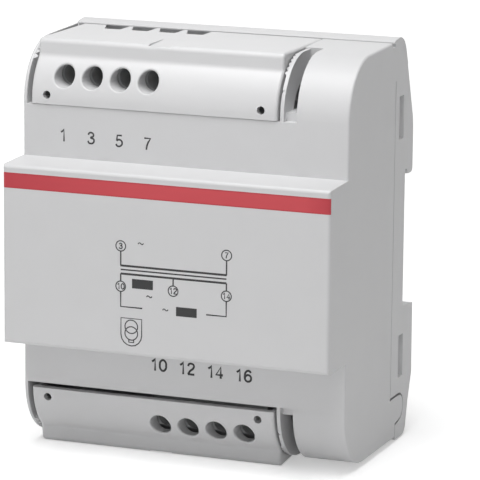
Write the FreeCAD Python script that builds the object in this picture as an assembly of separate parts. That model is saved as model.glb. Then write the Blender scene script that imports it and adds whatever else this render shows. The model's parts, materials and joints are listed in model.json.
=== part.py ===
import FreeCAD, Part
import math
import os
from FreeCAD import Vector

# A five-module doorbell transformer that snaps onto a 35 mm rail.
# X runs along the rail, Y points back to the rail, Z points up.
# The origin is on the rail's seat plane, at the middle of the rail.

# Moulded housing, lengths in millimetres
module_width = 17.5
module_count = 5
body_height = 104.0
shoulder_depth = 44.0
corner_radius = 15.0
side_edge_round = 0.6
wall = 2.0
nose_depth = 56.5
nose_root_height = 45.8
nose_top_draft = 0.4
nose_foot_drop = 0.5
nose_edge_round = 0.9

# Terminal recesses at the top and the bottom
ledge_drop = 15.8
ledge_wall = 2.0
left_cheek_wall = 1.0
right_cheek_width = 13.75
recess_back_depth = 10.5
channel_end_depth = 25.0

# Toothed ribs beside the covers
rib_width = 0.9
rib_gap = 0.7
rib_recess = 0.2
rib_depth = 7.3
tooth_height = 0.55
tooth_pitch_angle = 6.2
tooth_count = 6
first_tooth_angle = 46.0
rest_notch_angle = 26.0
rest_notch_size = 0.8
channel_stop_height = 2.1

# Back edge of the housing and its joint with the base
seam_depth = 9.0
seam_drop = 9.6
seam_rise = 3.2
seam_step_depth = 6.0
seam_ramp_depth = 2.2
seam_back_reach = 0.6
top_back_rise = 0.5
back_lip_rise = 1.3
back_lip_bevel = 0.4
back_lip_crest_depth = 6.5
back_lip_end_depth = 1.3
back_lip_drop = 3.1
back_lip_shoulder = 3.4
lip_groove_width = 1.6
lip_groove_sink = 1.2
lip_undercut = 0.8
lip_edge = 0.3
lip_pocket_depth = 2.2
tongue_radius = 3.2
tongue_drop = 7.65
tongue_centre_depth = 1.8
foot_seam_depth = 4.8
side_seam_gap = 0.6
parting_gap = 0.15

# Rear base
base_inset = 0.1
hook_depth = 6.0
hook_overlap = 0.7
hook_slope_rise = 14.0
hook_flat_rise = 11.0
hook_slope_set = 0.5
hook_tip_round = 1.3
hook_mouth = 1.5
hook_mouth_slope = 0.8
foot_depth = 8.4
foot_drop = 0.6
foot_play = 0.1
foot_face_slope = 0.8
foot_face_set = 0.3
foot_flat_end = 15.0
foot_slope_end = 8.0
foot_slope_set = 2.6
foot_toe_set = 4.2
foot_toe_rise = 2.3
foot_toe_length = 3.0
rail_height = 35.0
rail_thickness = 1.0
rail_play = 0.9
side_slot_width = 3.6
side_slot_length = 11.2
side_slot_sink = 1.2
upper_slot_drop = 14.0
upper_slot_depth = 5.4
lower_slot_rise = 15.7
lower_slot_depth = 2.7
post_size = 6.0
rim_thickness = 1.4

# Sliding terminal covers
cover_width = 66.4
cover_gap = 1.25
cover_back_side_gap = 0.15
cover_proud = 0.3
cover_wall = 1.8
cover_top_rise = 0.5
cover_fold_angle = 46.0
cover_fold_round = 1.8
cover_brow_rise = 1.4
cover_brow_lean = 0.1
cover_end_wall = 1.4
cover_end_depth = 6.5
cover_end_round = 0.8
cover_inner_turn = 41.5
cover_opening_angle = 4.5
nib_clearance = 0.05
nib_teeth_up = 1.5
seal_hole_radius = 1.05
seal_hole_inset = 4.3
seal_hole_rise = 2.5
scallop_depth = 6.2
scallop_corner = 0.8
scallop_right = 4.7
scallop_left_back = 1.9
scallop_left_front = 0.3
hole_rim_round = 0.4
grip_recess_width = 6.3
grip_recess_length = 11.4
grip_recess_depth = 0.5

# Terminals
terminal_pitch = 7.62
terminals_per_side = 4
first_terminal_inset = 8.6
terminal_drop = 8.6
driver_hole_radius = 2.75
driver_collar_wall = 0.8
driver_collar_gap = 1.4
screw_radius = 1.5
screw_head_radius = 2.5
screw_head_height = 2.4
screw_head_round = 0.4
screw_play = 0.05
screw_slot_width = 0.8
screw_slot_depth = 1.1
thread_clearance = 0.06
partition_wall = 0.9
cage_width = 6.2
cage_length = 11.8
cage_height = 6.3
cage_side_wall = 0.9
cage_end_wall = 1.1
cage_fold_round = 0.6
cage_travel = 2.4
cage_clearance = 0.2
bar_width = 4.0
bar_thickness = 1.0
bar_depth = 17.0
tag_width = 2.4
tag_length = 6.5
tag_eye_radius = 0.6
tag_eye_rise = 1.6
wire_radius = 1.5
wire_offset = 0.65
funnel_flare = 0.5
funnel_depth = 0.6
block_front_setback = 7.2
block_front_slope = 3.8
block_front_slope_drop = 2.4
block_roof = 1.45
block_margin = 4.3

# Rail latch
latch_width = 20.2
latch_thickness = 2.4
latch_rib = 1.6
latch_pull_length = 4.0
latch_pull_set = 2.0
latch_eye_height = 1.6
latch_top_set = 1.0
latch_travel = 4.0
latch_stop_width = 3.6
latch_stop_height = 2.0
latch_stop_drop = 13.5
latch_clearance = 0.25
latch_bite = 1.9
latch_nose_bevel = 0.8
latch_arm_width = 2.2
latch_arm_root = 8.0
latch_arm_foot = 3.0
latch_slot = 0.8
pocket_foot_height = 9.0
pocket_wall_set = 2.4
pocket_foot_set = 4.6
keeper_width = 1.4
keeper_length = 18.0
keeper_drop = 4.0

# Transformer core and coil
core_leg = 26.0
core_side_gap = 2.75
core_end_gap = 1.7
core_front_gap = 1.3
rivet_radius = 1.9
rivet_head_radius = 3.2
rivet_head_height = 0.8
rivet_inset = 5.0
rivet_clearance = 0.05
former_wall = 1.0
former_flange = 1.2
coil_side_gap = 0.95
coil_front_gap = 1.75
coil_back_gap = 0.65
coil_top_gap = 0.7
coil_clearance = 0.3
winding_setback = 0.5
coil_corner_radius = 4.0
tape_thickness = 0.3
lead_radius = 0.8
lead_rise = 4.5
lead_depth = 7.0
secondary_lead_spread = 10.0
cutout_length = 9.0
cutout_width = 4.5
cutout_height = 3.2
cutout_edge_round = 0.8
cutout_lead_run = 5.0

# Working allowances for shapes that are joined or cut
overlap = 0.1
through = 1.0
same_place = 0.01

# Values that follow from the sizes above
half_width = module_width * module_count / 2
half_height = body_height / 2
pivot_y = corner_radius - shoulder_depth
pivot_z = half_height - corner_radius
right_cheek_x = half_width - right_cheek_width
left_wall_x = -half_width + left_cheek_wall
cover_left = left_wall_x + cover_gap
cover_right = cover_left + cover_width
cover_centre = (cover_left + cover_right) / 2
cover_radius = corner_radius + cover_proud
cover_back = recess_back_depth + lip_groove_width
cover_top = half_height + cover_top_rise
ledge_height = half_height - ledge_drop
terminal_height = half_height - terminal_drop
seal_hole_height = ledge_height + seal_hole_rise
seam_top = half_height - seam_drop
tongue_height = half_height - tongue_drop
rib_left = cover_right + rib_gap
rib_right = rib_left + rib_width
nib_reach = rib_gap - tooth_height - nib_clearance
left_tooth_height = cover_gap - rib_gap + tooth_height
lip_roof = half_height + top_back_rise - lip_edge
rail_half = rail_height / 2
inner_half_height = ledge_height - ledge_wall
foot_bottom = -half_height - foot_drop
foot_top = -rail_half - foot_play
latch_front = rail_thickness + overlap
latch_back = latch_front + latch_thickness
latch_top = foot_top - latch_top_set
latch_plate_bottom = foot_bottom + latch_pull_set + latch_pull_length
latch_stop_high = -rail_half - latch_stop_drop
block_front_depth = shoulder_depth - block_front_setback
block_top = terminal_height + cage_height / 2 + cage_clearance + block_roof
tag_depth = recess_back_depth + bar_thickness - overlap
tag_eye_height = inner_half_height - tag_length + tag_eye_rise
core_width = 2 * (half_width - wall - core_side_gap)
core_height = 2 * (inner_half_height - core_end_gap)
core_window_width = core_width / 2 - core_leg
core_window_height = core_height - core_leg
core_front_depth = shoulder_depth - wall - core_front_gap
coil_reach = min(core_window_width - coil_side_gap,
                 nose_depth - wall - coil_front_gap - core_front_depth)
coil_build = coil_reach - coil_clearance / 2 - former_wall - tape_thickness
core_back_depth = wall + coil_back_gap + coil_reach
flange_height = min(core_window_height / 2 - coil_clearance,
                    nose_root_height / 2 - wall - nose_top_draft - coil_top_gap)
cage_back_depth = bar_depth - bar_thickness - wire_radius * 2 - cage_clearance - cage_end_wall
screw_seat_depth = (cage_back_depth + cage_length + cage_travel + cage_clearance
                    + partition_wall)
far = 200.0

TOP_NUMBERS = [1, 3, 5, 7]
BOTTOM_NUMBERS = [10, 12, 14, 16]


def outline(start, *moves):
    """Closed face in the side view; a move is an end point, or a pair of arc middle and end."""
    here = Vector(0, *start)
    first = here
    edges = []
    for move in moves:
        if isinstance(move[0], tuple):
            end = Vector(0, *move[1])
            edges.append(Part.Arc(here, Vector(0, *move[0]), end).toShape())
        else:
            end = Vector(0, *move)
            edges.append(Part.LineSegment(here, end).toShape())
        here = end
    if here.distanceToPoint(first) > 1e-6:
        edges.append(Part.LineSegment(here, first).toShape())
    return Part.Face(Part.Wire(edges))


def slab(face, x_low, x_high):
    """Pull a side-view face along the rail from x_low to x_high."""
    return face.translated(Vector(x_low, 0, 0)).extrude(Vector(x_high - x_low, 0, 0))


def block(x, y, z):
    """Box between the pairs of limits x, y and z."""
    return Part.makeBox(x[1] - x[0], y[1] - y[0], z[1] - z[0], Vector(x[0], y[0], z[0]))


def rod(radius, x, y, z):
    """Cylinder along Y between the pair of limits y."""
    return Part.makeCylinder(radius, y[1] - y[0], Vector(x, y[0], z), Vector(0, 1, 0))


def on_arc(radius, degrees):
    """Point of the side view at an angle above the level line through the top corner's centre."""
    angle = math.radians(degrees)
    return (pivot_y - radius * math.cos(angle), pivot_z + radius * math.sin(angle))


def mirrored_down(shape):
    """The same form at the bottom of the housing."""
    return shape.mirror(Vector(0, 0, 0), Vector(0, 0, 1))


def turned_over(shape):
    """The same piece turned half round about the covers' middle, for the bottom terminals."""
    turned = shape.copy()
    turned.rotate(Vector(cover_centre, 0, 0), Vector(0, 1, 0), 180)
    return turned


def fused(shapes):
    """One solid from shapes that overlap."""
    return shapes[0].multiFuse(shapes[1:]).removeSplitter()


def upper_lip_points():
    """Back lip above the base, from the recess round the back to the seam."""
    lip_top = half_height + back_lip_rise
    groove_floor = half_height + top_back_rise - lip_groove_sink
    groove_back = lip_undercut - recess_back_depth
    curve_middle = (-back_lip_shoulder, lip_top - 2 * back_lip_bevel)
    return [(-recess_back_depth - lip_groove_width, half_height + top_back_rise),
            (-recess_back_depth - lip_groove_width, groove_floor),
            (groove_back, groove_floor), (groove_back, lip_roof), (-recess_back_depth, lip_roof),
            (-recess_back_depth, half_height + top_back_rise),
            (-recess_back_depth + back_lip_bevel * 2, lip_top - back_lip_bevel),
            (-back_lip_crest_depth, lip_top),
            (curve_middle, (-back_lip_end_depth, lip_top - back_lip_drop)),
            (seam_back_reach, seam_top + seam_rise),
            (-seam_ramp_depth, seam_top + seam_rise),
            (-seam_step_depth, seam_top),
            (-seam_depth, seam_top)]


def tongue_points(gap):
    """Round side tongue at the foot, grown by gap all round."""
    radius = tongue_radius + gap
    return [(-seam_depth, -tongue_height + radius),
            (-tongue_centre_depth, -tongue_height + radius),
            ((-tongue_centre_depth + radius, -tongue_height),
             (-tongue_centre_depth, -tongue_height - radius)),
            (-foot_seam_depth + gap, -tongue_height - radius - foot_drop)]


def housing_outline():
    """Side view of the housing without its nose."""
    corner_low = [(pivot_y, -half_height),
                  ((on_arc(corner_radius, 45)[0], -on_arc(corner_radius, 45)[1]),
                   (-shoulder_depth, -pivot_z))]
    corner_high = [(-shoulder_depth, pivot_z),
                   (on_arc(corner_radius, 45), (pivot_y, half_height))]
    return outline((-foot_seam_depth, -half_height), *corner_low, *corner_high,
                   *upper_lip_points(), *tongue_points(0))


def nose_solid():
    """Raised front, drawn with draft on its top and its rounded front edges."""
    root = nose_root_height / 2
    foot = -root - nose_foot_drop
    sunk = -shoulder_depth + wall
    face = outline((sunk, foot), (-nose_depth, foot), (-nose_depth, root - nose_top_draft),
                   (-shoulder_depth, root), (sunk, root))
    nose = slab(face, -half_width, half_width)
    front = [edge for edge in nose.Edges if edge.BoundBox.YMax < -nose_depth + same_place]
    return nose.makeFillet(nose_edge_round, front)


def rounded_sides(shape):
    """Ease the long side edges of the shoulders and corners."""
    edges = []
    for edge in shape.Edges:
        box = edge.BoundBox
        at_side = abs(abs(box.Center.x) - half_width) < same_place and box.XLength < same_place
        if at_side and box.YMax < pivot_y + same_place:
            edges.append(edge)
    return shape.makeFillet(side_edge_round, edges)


def shoulder_recess():
    """Space of the top terminals, with a pocket for the wires under the back lip."""
    right_x = cover_right + cover_back_side_gap
    front = block((left_wall_x, right_cheek_x), (-far, -channel_end_depth), (ledge_height, far))
    back = block((left_wall_x, right_x), (-far, -recess_back_depth), (ledge_height, far))
    pocket = block((left_wall_x, right_x), (-far, lip_pocket_depth - recess_back_depth),
                   (block_top, lip_roof))
    return front.multiFuse([back, pocket])


def cheek_hollow():
    """Hollow behind the right cheek, open to the coil space."""
    radius = corner_radius - wall
    low = inner_half_height - wall
    face = outline((-shoulder_depth + wall, low), on_arc(radius, 0),
                   (on_arc(radius, 45), on_arc(radius, 90)),
                   (-recess_back_depth, half_height - wall), (-recess_back_depth, low))
    return slab(face, right_cheek_x + wall, half_width - wall)


def lip_hollow():
    """Hollow under the back lip that takes the top of the base."""
    back = -back_lip_end_depth - wall
    low_back = -seam_ramp_depth - parting_gap * 2
    face = outline((-seam_depth + wall, seam_top - wall), (-seam_depth + wall, half_height - wall),
                   (back, half_height - wall), (low_back, seam_top + seam_rise - parting_gap),
                   (low_back, seam_top - wall))
    return slab(face, -half_width + wall, half_width - wall)


def tooth(x_root, x_tip, degrees):
    """One ratchet tooth that stands out from a rib's face along a radius."""
    half_pitch = math.radians(tooth_pitch_angle) * corner_radius / 2
    root = x_root + math.copysign(overlap, x_root - x_tip)
    corners = [Vector(root, 0, -half_pitch), Vector(x_root, 0, -half_pitch),
               Vector(x_tip, 0, 0), Vector(x_root, 0, half_pitch), Vector(root, 0, half_pitch)]
    profile = Part.Face(Part.makePolygon(corners + corners[:1]))
    outer = corner_radius - rib_recess
    inner = corner_radius - rib_depth / 2
    ridge = profile.extrude(Vector(0, inner - outer, 0))
    ridge.translate(Vector(0, pivot_y + outer, pivot_z))
    ridge.rotate(Vector(0, pivot_y, pivot_z), Vector(1, 0, 0), 180 - degrees)
    return ridge


def tooth_row(x_root, x_tip):
    """Row of ratchet teeth along the upper part of a rib."""
    angles = [first_tooth_angle + index * tooth_pitch_angle for index in range(tooth_count)]
    return [tooth(x_root, x_tip, angle) for angle in angles]


def rib():
    """Curved guide wall between the cover and the channel, with its rest notch."""
    outer = corner_radius - rib_recess
    inner = corner_radius - rib_depth
    start = math.degrees(math.asin((ledge_height - pivot_z) / outer))
    inner_start = math.degrees(math.asin((ledge_height - pivot_z) / inner))
    face = outline(on_arc(outer, start), (on_arc(outer, 45), on_arc(outer, 90)),
                   (overlap - channel_end_depth, pivot_z + outer),
                   (overlap - channel_end_depth, pivot_z + inner),
                   on_arc(inner, 90), (on_arc(inner, 45), on_arc(inner, inner_start)))
    plate = slab(face, rib_left, rib_right)
    notch_y, notch_z = on_arc(outer, rest_notch_angle)
    notch = Part.makeCylinder(rest_notch_size / 2, rib_width / 2,
                              Vector(rib_left, notch_y, notch_z), Vector(1, 0, 0))
    return plate.cut(notch)


def channel_stop():
    """Small step at the foot of the channel beside the rib."""
    front = on_arc(corner_radius, 0)[0] + wall
    return block((rib_right, right_cheek_x), (front, front + rib_depth),
                 (ledge_height, ledge_height + channel_stop_height))


def tag_slot(x):
    """Slot in the ledge for one contact bar's solder tag."""
    half = bar_width / 2 + overlap
    return block((x - half, x + half), (-tag_depth - bar_thickness - overlap, -tag_depth + overlap),
                 (inner_half_height - wall, ledge_height + overlap))


def terminal_places():
    """X of the top terminals, from the left."""
    first = cover_left + first_terminal_inset
    return [first + index * terminal_pitch for index in range(terminals_per_side)]


def core_rests(x, z, y):
    """Four square posts between the pair of limits y that the core bears on."""
    half = post_size / 2
    return [block((side * x - half, side * x + half), y, (level * z - half, level * z + half))
            for side in (-1, 1) for level in (-1, 1)]


def front_housing():
    body = rounded_sides(slab(housing_outline(), -half_width, half_width))
    body = body.fuse(nose_solid())
    inner_x = half_width - wall
    coil_space = block((-inner_x, inner_x), (-shoulder_depth + wall, far),
                       (-inner_half_height, inner_half_height))
    foot_space = block((-inner_x, inner_x), (-seam_depth, far),
                       (-half_height + wall, -inner_half_height))
    nose_inner = nose_root_height / 2 - wall
    nose_space = block((-inner_x, inner_x), (-nose_depth + wall, -shoulder_depth + wall),
                       (-nose_inner - nose_foot_drop, nose_inner - nose_top_draft))
    cuts = [coil_space, foot_space, nose_space, lip_hollow()]
    cuts += [shoulder_recess(), mirrored_down(shoulder_recess())]
    cuts += [cheek_hollow(), mirrored_down(cheek_hollow())]
    slots = [tag_slot(x) for x in terminal_places()]
    cuts += slots + [turned_over(slot) for slot in slots]
    body = body.cut(cuts)
    guides = [rib(), channel_stop()]
    guides += tooth_row(rib_left, rib_left - tooth_height)
    guides += tooth_row(left_wall_x, left_wall_x + left_tooth_height)
    lower_guides = [mirrored_down(guide) for guide in guides]
    yoke_z = (nose_root_height / 2 + inner_half_height) / 2
    pads = core_rests(core_leg / 2 + core_window_width / 2, yoke_z,
                      (-shoulder_depth + wall / 2, -core_front_depth))
    return fused([body] + guides + lower_guides + pads)


def base_outline(front):
    """Side view of the base; front is how far its open side reaches forward."""
    hook_low = rail_half - hook_overlap
    notch = rail_half + rail_play
    tip_bulge = hook_tip_round * (1 - math.sqrt(0.5))
    return outline((-front, seam_top), (-seam_step_depth, seam_top),
                   (-seam_ramp_depth, seam_top + seam_rise), (seam_back_reach, seam_top + seam_rise),
                   (hook_depth - hook_slope_set, rail_half + hook_slope_rise),
                   (hook_depth, rail_half + hook_flat_rise),
                   (hook_depth, hook_low + hook_tip_round),
                   ((hook_depth - tip_bulge, hook_low + tip_bulge),
                    (hook_depth - hook_tip_round, hook_low)),
                   (hook_mouth + hook_mouth_slope, hook_low), (hook_mouth, notch - overlap * 2),
                   (0, notch), (0, foot_top),
                   (foot_depth - foot_face_set, foot_top - foot_face_slope),
                   (foot_depth, -half_height + foot_flat_end),
                   (foot_depth - foot_slope_set, -half_height + foot_slope_end),
                   (foot_depth - foot_toe_set, foot_bottom + foot_toe_rise),
                   ((foot_depth - foot_toe_set - foot_toe_length * 0.3,
                     foot_bottom + foot_toe_rise * 0.35),
                    (foot_depth - foot_toe_set - foot_toe_length, foot_bottom)),
                   (-foot_seam_depth + parting_gap, foot_bottom),
                   (-foot_seam_depth + parting_gap, -half_height + wall + parting_gap),
                   (-front, -half_height + wall + parting_gap))


def side_slot(x_side, y, z):
    """Shallow moulding slot in one side of the base."""
    inward = -math.copysign(side_slot_sink, x_side)
    limits = sorted([x_side + inward, x_side - inward])
    return block(limits, (y, y + side_slot_width), z)


def latch_pocket_walls():
    """Guide box on the base that holds the latch from the front and the sides."""
    half = latch_width / 2 + latch_clearance
    floor_y = rail_thickness - overlap
    foot_end = foot_bottom + pocket_foot_height
    floor = block((-half - wall, half + wall), (floor_y - wall, floor_y), (foot_bottom, latch_top))
    sides = [block((side, side + wall), (floor_y - wall, foot_depth - pocket_wall_set),
                   (foot_end, latch_top))
             for side in (-half - wall, half)]
    feet = [block((side, side + wall), (floor_y - wall, foot_depth - pocket_foot_set),
                  (foot_bottom, foot_end + overlap))
            for side in (-half - wall, half)]
    return [floor] + sides + feet


def latch_keepers():
    """Two lips that keep the latch from leaving the base backwards."""
    half = latch_width / 2 + latch_clearance
    front = latch_back + latch_clearance
    top = -rail_half - keeper_drop
    inner = half + overlap - keeper_width
    return [block(x, (front, front + keeper_width), (top - keeper_length, top))
            for x in ((-half - overlap, -inner), (inner, half + overlap))]


def latch_stop():
    """Lug on the pocket's floor that stands in the latch's slot and limits its travel."""
    return block((-latch_stop_width / 2, latch_stop_width / 2), (0, latch_back),
                 (latch_stop_high - latch_stop_height, latch_stop_high))


def rear_base():
    outer_x = half_width - base_inset
    inner_x = outer_x - wall
    shell = slab(base_outline(seam_depth - side_seam_gap), -outer_x, outer_x)
    hollow_face = base_outline(seam_depth + 2 * wall).makeOffset2D(-wall, join=2)
    shell = shell.cut(slab(hollow_face, -inner_x, inner_x))
    tongue = outline((-seam_depth - through, -tongue_height + tongue_radius + side_seam_gap),
                     *tongue_points(side_seam_gap), (-foot_seam_depth + side_seam_gap, -far),
                     (-seam_depth - through, -far))
    inside = half_width - wall - parting_gap
    shell = shell.cut([slab(tongue, inside, far), slab(tongue, -far, -inside)])
    half = latch_width / 2 + latch_clearance
    pocket = block((-half, half), (rail_thickness - overlap, far), (-far, foot_top + through))
    shell = shell.cut(pocket)
    extras = latch_pocket_walls() + latch_keepers() + [latch_stop()]
    extras += core_rests(core_width / 2 - core_window_width / 2, rail_half - post_size,
                         (-core_back_depth, -wall / 2))
    for side in (-1, 1):
        height = (-inner_half_height + wall, inner_half_height - wall)
        rim = sorted([side * inside, side * (inside - rim_thickness)])
        root = sorted([side * (inside - rim_thickness), side * (inner_x + wall / 2)])
        extras.append(block(rim, (-seam_depth - wall, -seam_depth + wall), height))
        extras.append(block(root, (-seam_depth + side_seam_gap, -seam_depth + wall), height))
    shell = fused([shell] + extras)
    slots = []
    upper_z = half_height - upper_slot_drop
    lower_z = -half_height + lower_slot_rise
    for x_side in (-outer_x, outer_x):
        slots.append(side_slot(x_side, -upper_slot_depth, (upper_z - side_slot_length, upper_z)))
        slots.append(side_slot(x_side, -lower_slot_depth, (lower_z, lower_z + side_slot_length)))
    return shell.cut(slots)


def rail_latch():
    """Sliding latch with a bevelled nose, two moulded spring arms and a pull slot."""
    ridge_back = latch_back + latch_rib
    nose_tip = -rail_half + latch_bite
    half = latch_width / 2
    narrow = half - keeper_width - latch_clearance
    height = (latch_plate_bottom, latch_top)
    plate = block((-half, half), (latch_front, latch_back), height)
    ridge = block((-narrow, narrow), (latch_front, ridge_back), height)
    nose_front = latch_front + overlap
    nose_face = outline((nose_front, latch_top - overlap), (nose_front, nose_tip - latch_nose_bevel),
                        (nose_front + latch_nose_bevel, nose_tip),
                        (ridge_back, latch_top + latch_nose_bevel), (ridge_back, latch_top - overlap))
    nose = slab(nose_face, -narrow, narrow)
    pull_bottom = latch_plate_bottom - latch_pull_length
    pull = block((-half / 2, half / 2), (latch_front, ridge_back),
                 (pull_bottom, latch_plate_bottom + overlap))
    eye_low = pull_bottom + latch_eye_height
    eye = block((-half / 4, half / 4), (latch_front - through, foot_depth),
                (eye_low, eye_low + latch_eye_height))
    stop_half = latch_stop_width / 2 + latch_clearance
    window = block((-stop_half, stop_half), (latch_front - through, foot_depth),
                   (latch_stop_high - latch_stop_height - latch_clearance,
                    latch_stop_high + latch_travel + latch_clearance))
    latch = fused([plate, ridge, nose, pull]).cut([eye, window])
    cuts = []
    arm_root = latch_top - latch_arm_root
    for side in (-1, 1):
        inner_edge = side * (half - latch_arm_width)
        slit = sorted([inner_edge, inner_edge - side * latch_slot])
        cuts.append(block(slit, (latch_front - through, foot_depth),
                          (latch_plate_bottom + latch_arm_foot, arm_root)))
        mouth = sorted([inner_edge - side * latch_slot, side * (half + through)])
        cuts.append(block(mouth, (latch_front - through, foot_depth), (arm_root - latch_slot, arm_root)))
    return latch.cut(cuts)


def cover_outer_points():
    """Outer line of the cover from its front edge over the fold to the rear edge."""
    low = math.degrees(math.asin((ledge_height + parting_gap - pivot_z) / cover_radius))
    fold = on_arc(cover_radius, cover_fold_angle)
    brow = (fold[0] + cover_brow_lean, cover_top - cover_brow_rise)
    bulge = cover_brow_rise * (1 - math.sqrt(0.5))
    return [on_arc(cover_radius, low), (on_arc(cover_radius, cover_fold_angle / 2), fold),
            brow, ((brow[0] + bulge, cover_top - bulge), (brow[0] + cover_brow_rise, cover_top)),
            (-cover_back, cover_top)]


def cover_inner_points():
    """Inner line of the cover, back from the rear edge to the front edge."""
    radius = cover_radius - cover_wall
    low = math.degrees(math.asin((ledge_height + parting_gap - pivot_z) / radius))
    turn = on_arc(radius, cover_inner_turn)
    return [(-cover_back, cover_top - cover_wall), (turn[0] + cover_wall, cover_top - cover_wall),
            (turn[0] + cover_wall - cover_brow_lean, cover_top - cover_wall - cover_brow_rise / 2), turn,
            (on_arc(radius, cover_fold_angle / 2), on_arc(radius, low))]


def rounded_crease(cover):
    """Ease the inward crease where the cover's curved front meets its fold."""
    fold = on_arc(cover_radius, cover_fold_angle)
    crease = [edge for edge in cover.Edges
              if abs(edge.BoundBox.Center.y - fold[0]) < same_place
              and abs(edge.BoundBox.Center.z - fold[1]) < same_place]
    return cover.makeFillet(cover_fold_round, crease)


def cover_envelope():
    """All the space under the cover's outer line, with its edges at both ends rounded."""
    outer = cover_outer_points()
    floor = outer[0][1]
    space = slab(outline(outer[0], *outer[1:], (-cover_back, floor)), cover_left, cover_right)
    space = rounded_crease(space)
    ends = []
    for edge in space.Edges:
        box = edge.BoundBox
        on_outer_line = box.YMin < -cover_back - same_place and box.ZMax > floor + same_place
        if box.XLength < same_place and on_outer_line:
            ends.append(edge)
    return space.makeFillet(cover_end_round, ends)


def cover_screen():
    """Curved cover over the top terminals, closed on its ledge."""
    outer = cover_outer_points()
    face = outline(outer[0], *outer[1:], *cover_inner_points())
    cover = rounded_crease(slab(face, cover_left, cover_right))
    end_face = outline(outer[0], *outer[1:-1], (pivot_y, cover_top),
                       (pivot_y, cover_top - cover_wall),
                       on_arc(cover_radius - cover_end_depth, cover_fold_angle),
                       on_arc(cover_radius - cover_end_depth, 0.0))
    ends = [slab(end_face, cover_left, cover_left + cover_end_wall),
            slab(end_face, cover_right - cover_end_wall, cover_right)]
    collar_end = -block_front_depth - driver_collar_gap
    collars = [rod(driver_hole_radius + driver_collar_wall, x, (-far, collar_end), terminal_height)
               for x in terminal_places()]
    envelope = cover_envelope()
    cover = fused([cover.common(envelope)] + [part.common(envelope) for part in ends + collars])
    holes = [rod(driver_hole_radius, x, (-far, collar_end + through), terminal_height)
             for x in terminal_places()]
    seal_hole_end = pivot_y - cover_radius + cover_end_depth
    for x in (cover_left + seal_hole_inset, cover_right - seal_hole_inset):
        holes.append(rod(seal_hole_radius, x, (-far, seal_hole_end), seal_hole_height))
    cover = cover.cut(holes)
    rims = [edge for edge in cover.Edges if is_rim(edge)]
    cover = cover.makeFillet(hole_rim_round, rims)
    cover = cover.cut([scallop(x) for x in terminal_places()] + [grip_recess()])
    nibs = [nib(cover_right, 1), nib(cover_left, -1)]
    return fused([cover] + nibs)


def is_rim(edge):
    """Outer rim of a driver hole, which is as wide as the hole and bent along the cover."""
    box = edge.BoundBox
    return abs(box.XLength - 2 * driver_hole_radius) < overlap and box.YLength > same_place


def scallop(x):
    """Wire notch with a slanted left side in the rear edge of the cover."""
    front = -cover_back - scallop_depth
    low = cover_top - 2 * cover_wall
    corners = [Vector(x + scallop_right, 0, low), Vector(x - scallop_left_back, 0, low),
               Vector(x - scallop_left_back, -cover_back, low), Vector(x + scallop_left_front, front, low),
               Vector(x + scallop_right, front, low)]
    face = Part.Face(Part.makePolygon(corners + corners[:1]))
    cutter = face.extrude(Vector(0, 0, 2 * cover_wall + through))
    corners = [edge for edge in cutter.Edges
               if edge.BoundBox.ZLength > cover_wall and edge.BoundBox.YMax < front + same_place]
    return cutter.makeFillet(scallop_corner, corners)


def grip_recess():
    """Shallow wedge for a fingertip in the cover's flat top, deepest at its front edge."""
    front = cover_outer_points()[2][0]
    back = front + grip_recess_length
    face = outline((front - wall, cover_top - grip_recess_depth), (front, cover_top - grip_recess_depth),
                   (back, cover_top), (back, cover_top + wall), (front - wall, cover_top + wall))
    half = grip_recess_width / 2
    return slab(face, cover_centre - half, cover_centre + half)


def nib(x_face, direction):
    """Click nose on a cover's end, between two teeth of the rib."""
    degrees = first_tooth_angle + tooth_pitch_angle * nib_teeth_up
    half_pitch = math.radians(tooth_pitch_angle) * corner_radius / 2
    start = x_face - direction * overlap
    corners = [Vector(start, 0, -half_pitch / 2), Vector(x_face + direction * nib_reach, 0, 0),
               Vector(start, 0, half_pitch / 2)]
    profile = Part.Face(Part.makePolygon(corners + corners[:1]))
    outer = corner_radius - 2 * wall
    ridge = profile.extrude(Vector(0, wall, 0))
    ridge.translate(Vector(0, pivot_y + outer, pivot_z))
    ridge.rotate(Vector(0, pivot_y, pivot_z), Vector(1, 0, 0), 180 - degrees)
    return ridge


def opened(cover):
    """The bottom cover stands a little open on its arc."""
    moved = cover.copy()
    moved.rotate(Vector(0, pivot_y, -pivot_z), Vector(1, 0, 0), cover_opening_angle)
    return moved


def terminal_block():
    """Moulded carrier with a screw well, a cage pocket and a wire funnel per terminal."""
    places = terminal_places()
    front = -block_front_depth
    back = -recess_back_depth - screw_play
    face = outline((front, ledge_height), (front, block_top - block_front_slope_drop),
                   (front + block_front_slope, block_top), (back, block_top), (back, ledge_height))
    body = slab(face, places[0] - block_margin, places[-1] + block_margin)
    cuts = []
    for x in places:
        cuts += terminal_cell(x)
    return body.cut(cuts)


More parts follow.
